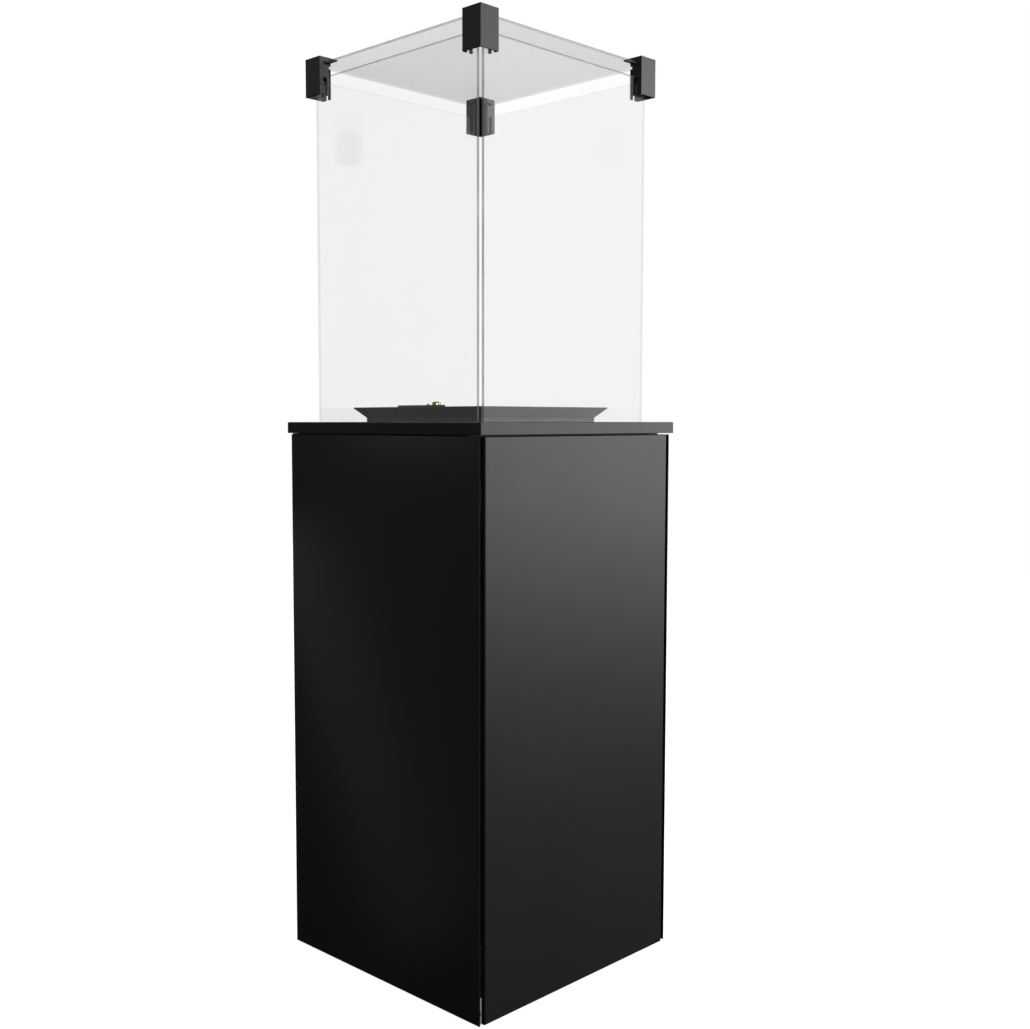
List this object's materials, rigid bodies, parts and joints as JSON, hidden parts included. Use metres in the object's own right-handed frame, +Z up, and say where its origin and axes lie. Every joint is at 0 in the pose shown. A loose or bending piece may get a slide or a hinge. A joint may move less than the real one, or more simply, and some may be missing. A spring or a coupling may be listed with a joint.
{
  "type": "outdoor heater",
  "caption": "Square gas patio heater: black steel bottle cabinet with a hinged door, flared burner tray and a glass-walled flame space under a flat glass lid.",
  "frame": {"origin": "on the ground, at the middle of the footprint", "axes": "+Z up; -Y the door side; +X to the hinge side of the door"},
  "size_m": [0.4586, 0.4586, 1.49],
  "materials": {
    "powder_coat": "satin black fine powder coat",
    "galvanised_steel": "galvanised sheet",
    "stainless_steel": "bright stainless",
    "brass": "turned brass",
    "copper": "drawn copper tube",
    "cast_aluminium": "as cast",
    "black_plastic": "fine spark texture",
    "ceramic": "glazed ceramic",
    "ignition_sleeve": "silicone sleeve",
    "pane_glass": "clear toughened glass with ground edges",
    "lid_glass": "lightly tinted toughened glass"
  },
  "bodies": {
    "cabinet": {"side_panel_left": "powder_coat", "side_panel_right": "powder_coat", "back_panel": "powder_coat", "frame_post_front_left": "galvanised_steel", "frame_post_front_right": "galvanised_steel", "frame_post_rear_left": "galvanised_steel", "frame_post_rear_right": "galvanised_steel", "base_plate": "galvanised_steel", "top_frame": "powder_coat", "top_plate": "powder_coat", "burner_deck": "powder_coat", "glass_channel_front": "powder_coat", "glass_channel_right": "powder_coat", "glass_channel_rear": "powder_coat", "glass_channel_left": "powder_coat", "glass_pane_front": "pane_glass", "glass_pane_right": "pane_glass", "glass_pane_rear": "pane_glass", "glass_pane_left": "pane_glass", "glass_lid": "lid_glass", "corner_clip_front_left": "powder_coat", "corner_clip_front_right": "powder_coat", "corner_clip_rear_right": "powder_coat", "corner_clip_rear_left": "powder_coat", "burner_tray": "powder_coat", "heat_shield": "galvanised_steel", "burner": "stainless_steel", "injector_elbow": "brass", "pilot_bracket": "powder_coat", "pilot_hood": "brass", "thermocouple": "stainless_steel", "spark_electrode": "ceramic", "valve_bracket": "galvanised_steel", "gas_valve_body": "cast_aluminium", "inlet_nipple": "brass", "burner_feed_pipe": "copper", "pilot_pipe": "cast_aluminium", "thermocouple_lead": "copper", "ignition_lead": "ignition_sleeve", "receiver_case": "black_plastic", "hinge_arm_lower": "galvanised_steel", "hinge_arm_upper": "galvanised_steel", "hinge_pin_lower": "stainless_steel", "hinge_pin_upper": "stainless_steel", "magnet_catch_lower": "black_plastic", "magnet_catch_upper": "black_plastic"},
    "door": {"door_panel": "powder_coat", "door_pivot_plate_lower": "galvanised_steel", "door_pivot_plate_upper": "galvanised_steel", "striker_plate_lower": "galvanised_steel", "striker_plate_upper": "galvanised_steel"},
    "manual_knob": {"manual_knob": "black_plastic"},
    "flame_knob": {"flame_knob": "black_plastic"},
    "receiver_switch": {"receiver_switch": "black_plastic"},
    "foot_front_left": {"levelling_foot_front_left": "black_plastic"},
    "foot_front_right": {"levelling_foot_front_right": "black_plastic"},
    "foot_rear_left": {"levelling_foot_rear_left": "black_plastic"},
    "foot_rear_right": {"levelling_foot_rear_right": "black_plastic"}
  },
  "joints": [
    {"name": "door_hinge", "type": "hinge", "parent": "cabinet", "child": "door", "pos_m": [0.2055, -0.215, 0.4494], "axis": [0, 0, 1], "range_deg": [0, 105]},
    {"name": "manual_knob_turn", "type": "hinge", "parent": "cabinet", "child": "manual_knob", "pos_m": [-0.032, -0.1568, 0.806], "axis": [0, -1, 0], "range_deg": [0, 180]},
    {"name": "flame_knob_turn", "type": "hinge", "parent": "cabinet", "child": "flame_knob", "pos_m": [0.024, -0.1568, 0.806], "axis": [0, -1, 0], "range_deg": [0, 90]},
    {"name": "receiver_switch_slide", "type": "slide", "parent": "cabinet", "child": "receiver_switch", "axis": [1, 0, 0], "range_m": [0, 0.008]},
    {"name": "foot_front_left_height", "type": "slide", "parent": "cabinet", "child": "foot_front_left", "axis": [0, 0, -1], "range_m": [0, 0.012]},
    {"name": "foot_front_right_height", "type": "slide", "parent": "cabinet", "child": "foot_front_right", "axis": [0, 0, -1], "range_m": [0, 0.012]},
    {"name": "foot_rear_left_height", "type": "slide", "parent": "cabinet", "child": "foot_rear_left", "axis": [0, 0, -1], "range_m": [0, 0.012]},
    {"name": "foot_rear_right_height", "type": "slide", "parent": "cabinet", "child": "foot_rear_right", "axis": [0, 0, -1], "range_m": [0, 0.012]}
  ]
}
